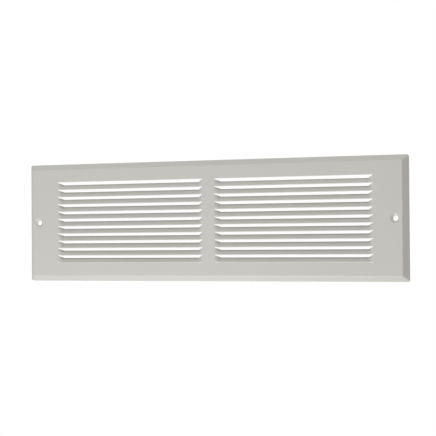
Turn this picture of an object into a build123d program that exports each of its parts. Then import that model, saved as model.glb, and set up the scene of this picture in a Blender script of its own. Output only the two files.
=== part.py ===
from build123d import *
import os
from math import atan2, cos, radians, sin

# Exterior ventilation grille, pressed from one sheet of enamelled steel.
# It is modelled lying on its back: X runs along it, Y up it, and Z out from the wall,
# whose surface is Z = 0. The last step stands it up with its middle at the origin,
# so that in the finished part the front looks towards -Y and Z points up.

# The plate, in millimetres
plate_width = 501.6
plate_height = 147.6
sheet = 0.9
rim_depth = 7.1      # from the wall to the front of the flat face
rim_width = 6.6      # how far the sloping rim reaches out past the flat face
bend_radius = 0.9    # inside radius of every fold
corner_radius = 2.1  # inside radius of the rim's four corners

# The louvres: two banks, with a plain bar between them
louvre_count = 11
louvre_pitch = 9.24
slit = 0.6           # the cut that parts a blade from the next, before they are turned
louvre_angle = 51.5  # degrees that a blade is turned, its lower edge out and its upper edge in
turning_line = 0.5   # from a blade's lower edge up to the line that stays in the face
twist_length = 6.5   # at each end of a blade, from flat to fully turned
side_margin = 42.2   # from the plate's end to the nearest slits
bar_width = 16.2

# The two countersunk screw holes
screw_inset = 15.2   # from the plate's end to the middle of the hole
screw_hole = 6.2
countersink_width = 12.0
countersink_depth = 2.0

# Sizes that follow from these
blade_width = louvre_pitch - slit
field_height = louvre_count * louvre_pitch + slit
bank_length = (plate_width - bar_width) / 2 - side_margin
bank_centre = (bar_width + bank_length) / 2
blade_reach = turning_line * sin(radians(louvre_angle))
screw_place = plate_width / 2 - screw_inset
rim_slope = atan2(rim_depth, rim_width)
outer_bend = bend_radius + sheet


def sloping_block(width, height, depth, corner, fold):
    """A block on the wall with the rim's slope on all four sides and a rounded front edge."""
    run = depth * rim_width / rim_depth
    back = RectangleRounded(width, height, corner)
    front = Pos(0, 0, depth) * RectangleRounded(width - 2 * run, height - 2 * run, corner)
    block = loft([back, front])
    front_edges = block.faces().sort_by(Axis.Z)[-1].edges()
    return fillet(front_edges, fold)


def folded_tray():
    """The flat face with its border folded back all round, open towards the wall."""
    skin = sheet / sin(rim_slope)
    outside = sloping_block(plate_width, plate_height, rim_depth, corner_radius + sheet, outer_bend)
    inside = sloping_block(
        plate_width - 2 * skin,
        plate_height - 2 * skin,
        rim_depth - sheet,
        corner_radius,
        bend_radius,
    )
    return outside - inside


def bank_opening():
    """What one bank takes out of the face: its blades and the slits between them."""
    return Pos(0, 0, rim_depth - sheet) * extrude(Rectangle(bank_length, field_height), sheet)


def blade_section(x, turn):
    """The blade's cross section at x, turned by so many degrees about its turning line."""
    across = (0, cos(radians(turn)), -sin(radians(turn)))
    place = Plane(origin=(x, turning_line, rim_depth), x_dir=across, z_dir=(1, 0, 0))
    return place * Pos(blade_width / 2 - turning_line, -sheet / 2) * Rectangle(blade_width, sheet)


def twisted_end():
    """The left end of a blade, where the sheet twists from the plane of the face to its lean."""
    start = -bank_length / 2
    return loft([blade_section(start, 0), blade_section(start + twist_length, louvre_angle)])


def blade():
    """One louvre blade, centred on X. Where it meets the face, its lower edge is on the X axis."""
    left_end = twisted_end()
    right_end = mirror(left_end, about=Plane.YZ)
    straight = bank_length - 2 * twist_length
    middle = extrude(blade_section(-straight / 2, louvre_angle), straight, dir=(1, 0, 0))
    return left_end + middle + right_end


def louvre_bank():
    """The blades of one bank, in the middle of the plate."""
    first_edge = slit - field_height / 2
    pattern = blade()
    return [Pos(0, first_edge + row * louvre_pitch) * pattern for row in range(louvre_count)]


def countersink():
    """The dished sheet round one screw hole, about the Z axis, and the radius where it ends."""
    hole = screw_hole / 2
    mouth = countersink_width / 2
    dish_slope = atan2(countersink_depth, mouth - hole)
    skin = sheet / cos(dish_slope)
    back_mouth = mouth + (skin - sheet) * (mouth - hole) / countersink_depth
    edge = back_mouth + bend_radius
    profile = make_face(
        Polyline(
            (edge, rim_depth),
            (mouth, rim_depth),
            (hole, rim_depth - countersink_depth),
            (hole, rim_depth - countersink_depth - skin),
            (back_mouth, rim_depth - sheet),
            (edge, rim_depth - sheet),
            close=True,
        )
    )
    front_bend = profile.vertices().sort_by_distance((mouth, rim_depth))[0]
    profile = fillet(front_bend, outer_bend)
    back_bend = profile.vertices().sort_by_distance((back_mouth, rim_depth - sheet))[0]
    profile = fillet(back_bend, bend_radius)
    return revolve(Plane.XZ * profile, Axis.Z), edge


def grille():
    """The whole grille, stood up with its middle at the origin."""
    plate = folded_tray()
    dish, dish_edge = countersink()
    blank = Pos(0, 0, rim_depth - sheet) * extrude(Circle(dish_edge), sheet)
    for side in (-1, 1):
        plate -= Pos(side * screw_place, 0) * blank
        plate += Pos(side * screw_place, 0) * dish
        plate -= Pos(side * bank_centre, 0) * bank_opening()
        plate += [Pos(side * bank_centre, 0) * one for one in louvre_bank()]
    return Pos(0, (rim_depth + blade_reach) / 2, 0) * Rot(90, 0, 0) * plate


os.makedirs("parts", exist_ok=True)
export_step(grille(), "parts/grille.step")
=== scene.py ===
import math

import bmesh
import bpy
from mathutils import Matrix, Vector


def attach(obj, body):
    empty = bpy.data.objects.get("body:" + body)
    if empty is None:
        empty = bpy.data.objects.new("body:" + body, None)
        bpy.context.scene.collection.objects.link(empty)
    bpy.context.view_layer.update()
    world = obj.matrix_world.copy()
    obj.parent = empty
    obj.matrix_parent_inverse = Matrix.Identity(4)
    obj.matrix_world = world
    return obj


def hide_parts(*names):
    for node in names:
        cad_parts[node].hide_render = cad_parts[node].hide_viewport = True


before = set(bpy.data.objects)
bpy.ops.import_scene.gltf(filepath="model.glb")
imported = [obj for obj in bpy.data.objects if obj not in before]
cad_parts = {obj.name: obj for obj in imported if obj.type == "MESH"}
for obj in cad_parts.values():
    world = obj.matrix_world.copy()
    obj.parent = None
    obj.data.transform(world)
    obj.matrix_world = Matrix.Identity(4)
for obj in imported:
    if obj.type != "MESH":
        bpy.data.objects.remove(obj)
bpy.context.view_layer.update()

MM = 0.001
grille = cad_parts["grille"]

# Where the photograph was taken from. The angles are read from how its lines run together.
IMAGE_SIZE = 436
FOCAL_PIXELS = 1503
CAMERA_AZIMUTH = 23.32
CAMERA_ELEVATION = -0.88
CAMERA_ROLL = 0.43
CAMERA_DISTANCE = 1.821
CAMERA_TARGET = Vector((13.2, -3.4, 3.0)) * MM
SENSOR_WIDTH = 36.0


def linear(hex_colour):
    """An sRGB hex colour such as "C3C1BB" as linear red, green, blue and alpha."""
    parts = [int(hex_colour[i:i + 2], 16) / 255 for i in (0, 2, 4)]
    return [c / 12.92 if c <= 0.04045 else ((c + 0.055) / 1.055) ** 2.4 for c in parts] + [1.0]


def add_node(tree, kind, settings=None, links=None):
    """Adds a shader node. settings gives its properties and input values, links its inputs."""
    node = tree.nodes.new("ShaderNode" + kind)
    for name, value in (settings or {}).items():
        if isinstance(name, str) and hasattr(node, name):
            setattr(node, name, value)
        else:
            node.inputs[name].default_value = value
    for name, source in (links or {}).items():
        tree.links.new(source, node.inputs[name])
    return node


def new_material(name):
    """An empty material with its output node."""
    material = bpy.data.materials.new(name)
    material.use_nodes = True
    material.node_tree.nodes.clear()
    return material, material.node_tree


def camera_light(tree):
    """1 for what the camera sees, straight or by a reflection or through glass, and 0 for the rest."""
    path = add_node(tree, "LightPath")
    direct = add_node(tree, "Math", {"operation": "MAXIMUM"}, {
        0: path.outputs["Is Camera Ray"],
        1: path.outputs["Is Glossy Ray"],
    })
    return add_node(tree, "Math", {"operation": "MAXIMUM"}, {
        0: direct.outputs[0],
        1: path.outputs["Is Transmission Ray"],
    }).outputs[0]


def satin_enamel():
    """Stoving enamel sprayed on pressed steel: a warm light grey, half gloss, with the faint
    orange peel that spraying leaves and the slight unevenness of thin sheet."""
    material, tree = new_material("satin_enamel_on_steel")
    place = add_node(tree, "TexCoord").outputs["Object"]

    # Spraying leaves the coat a little thicker in some places, 60 mm or so across.
    clouds = add_node(tree, "TexNoise", {"Scale": 1 / (60 * MM), "Detail": 3.0}, {"Vector": place})
    colour = add_node(tree, "MapRange", {"To Min": 0.0, "To Max": 1.0}, {"Value": clouds.outputs["Fac"]})
    paint = add_node(tree, "Mix", {"data_type": "RGBA", 6: linear("C2C0BA"), 7: linear("C6C4BE")}, {
        "Factor": colour.outputs["Result"],
    })

    # Orange peel is about 1.5 mm from crest to crest.
    peel = add_node(tree, "TexNoise", {"Scale": 1 / (1.5 * MM), "Detail": 1.0}, {"Vector": place})
    sheet = add_node(tree, "TexNoise", {"Scale": 1 / (45 * MM), "Detail": 0.0}, {"Vector": place})
    waves = add_node(tree, "Bump", {"Strength": 0.5, "Distance": 0.6 * MM}, {
        "Height": sheet.outputs["Fac"],
    })
    skin = add_node(tree, "Bump", {"Strength": 0.6, "Distance": 0.05 * MM}, {
        "Height": peel.outputs["Fac"],
        "Normal": waves.outputs["Normal"],
    })
    gloss = add_node(tree, "MapRange", {"To Min": 0.38, "To Max": 0.46}, {"Value": clouds.outputs["Fac"]})
    enamel = add_node(tree, "BsdfPrincipled", {"IOR": 1.5}, {
        "Base Color": paint.outputs[2],
        "Roughness": gloss.outputs["Result"],
        "Normal": skin.outputs["Normal"],
    })
    add_node(tree, "OutputMaterial", {}, {"Surface": enamel.outputs[0]})
    return material


def coated_sheet(cad_object):
    """The pressed sheet: the CAD's surfaces joined up, and shaded round where the sheet is
    folded or twisted."""
    shape = bmesh.new()
    shape.from_mesh(cad_object.data)
    bmesh.ops.remove_doubles(shape, verts=shape.verts, dist=MERGE_DISTANCE)
    bmesh.ops.dissolve_limit(shape, angle_limit=FLAT_ANGLE, verts=shape.verts, edges=shape.edges)
    for face in shape.faces:
        face.smooth = True
    for edge in shape.edges:
        edge.smooth = edge.calc_face_angle() < SHARP_ANGLE
    mesh = bpy.data.meshes.new("coated_sheet")
    shape.to_mesh(mesh)
    shape.free()
    sheet = bpy.data.objects.new("coated_sheet", mesh)
    bpy.context.scene.collection.objects.link(sheet)
    even = sheet.modifiers.new("even_faces", "WEIGHTED_NORMAL")
    even.keep_sharp = True
    return sheet


def pale_floor():
    """Matt white studio floor, which shows white to the camera apart from the grille's shadow."""
    material, tree = new_material("matt_white_floor")
    seen = camera_light(tree)
    tone = add_node(tree, "Mix", {"data_type": "RGBA", 6: (0.8, 0.8, 0.8, 1), 7: (1.7, 1.7, 1.7, 1)}, {
        "Factor": seen,
    })
    near = add_node(tree, "BsdfDiffuse", {}, {"Color": tone.outputs[2]})
    far = add_node(tree, "Emission", {"Color": (1, 1, 1, 1), "Strength": 1.0})
    place = add_node(tree, "TexCoord").outputs["Object"]
    reach = add_node(tree, "VectorMath", {"operation": "LENGTH"}, {0: place})
    fade = add_node(tree, "MapRange", {"From Min": 0.6, "From Max": 1.6}, {"Value": reach.outputs["Value"]})
    white = add_node(tree, "Math", {"operation": "MULTIPLY"}, {0: fade.outputs["Result"], 1: seen})
    floor = add_node(tree, "MixShader", {}, {0: white.outputs[0], 1: near.outputs[0], 2: far.outputs[0]})
    add_node(tree, "OutputMaterial", {}, {"Surface": floor.outputs[0]})
    return material


def make_floor():
    """A wide round floor well below the grille, which hangs upright as it does on its wall."""
    shape = bmesh.new()
    bmesh.ops.create_circle(shape, cap_ends=True, segments=96, radius=FLOOR_RADIUS)
    bmesh.ops.translate(shape, verts=shape.verts, vec=(0, 0, FLOOR_LEVEL))
    mesh = bpy.data.meshes.new("floor")
    shape.to_mesh(mesh)
    shape.free()
    floor = bpy.data.objects.new("floor", mesh)
    bpy.context.scene.collection.objects.link(floor)
    floor.data.materials.append(pale_floor())


def make_world():
    """Even white all round: plain white to the camera, and dimmer as light on the grille."""
    world = bpy.data.worlds.new("studio")
    bpy.context.scene.world = world
    world.use_nodes = True
    tree = world.node_tree
    tree.nodes.clear()
    strength = add_node(tree, "MapRange", {"To Min": SKY_LIGHT, "To Max": 1.0}, {"Value": camera_light(tree)})
    light = add_node(tree, "Background", {"Color": (1, 1, 1, 1)}, {"Strength": strength.outputs["Result"]})
    add_node(tree, "OutputWorld", {}, {"Surface": light.outputs[0]})


def make_lamp(name, place, size, power):
    """A square softbox that faces the grille."""
    data = bpy.data.lights.new(name, "AREA")
    data.shape = "SQUARE"
    data.size = size
    data.energy = power
    lamp = bpy.data.objects.new(name, data)
    lamp.location = place
    lamp.rotation_mode = "QUATERNION"
    lamp.rotation_quaternion = (-Vector(place)).to_track_quat("-Z", "Y")
    lamp.visible_camera = False
    bpy.context.scene.collection.objects.link(lamp)


def make_camera():
    """The photograph's own view: from the grille's right, level with its middle."""
    azimuth = math.radians(CAMERA_AZIMUTH)
    elevation = math.radians(CAMERA_ELEVATION)
    back = Vector((
        math.sin(azimuth) * math.cos(elevation),
        -math.cos(azimuth) * math.cos(elevation),
        math.sin(elevation),
    ))
    data = bpy.data.cameras.new("camera")
    data.sensor_width = SENSOR_WIDTH
    data.lens = SENSOR_WIDTH * FOCAL_PIXELS / IMAGE_SIZE
    camera = bpy.data.objects.new("camera", data)
    camera.location = CAMERA_TARGET + back * CAMERA_DISTANCE
    camera.rotation_mode = "QUATERNION"
    turn = (-back).to_track_quat("-Z", "Y")
    roll = Matrix.Rotation(math.radians(-CAMERA_ROLL), 3, "Z").to_quaternion()
    camera.rotation_quaternion = turn @ roll
    bpy.context.scene.collection.objects.link(camera)
    bpy.context.scene.camera = camera


MERGE_DISTANCE = 0.002 * MM
FLAT_ANGLE = math.radians(0.2)
SHARP_ANGLE = math.radians(40)

FLOOR_RADIUS = 12.0
FLOOR_LEVEL = -2.0
SKY_LIGHT = 0.53

scene = bpy.context.scene
scene.view_settings.view_transform = "Standard"

make_camera()
make_world()
make_floor()
make_lamp("low", (-0.12, -0.45, -0.8), 0.5, 5.5)
make_lamp("high", (-0.19, -1.33, 1.34), 1.0, 11.5)
make_lamp("behind", (0.4, 1.7, 0.5), 1.2, 15.0)

sheet = coated_sheet(grille)
sheet.data.materials.append(satin_enamel())
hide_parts("grille")
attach(sheet, "root")
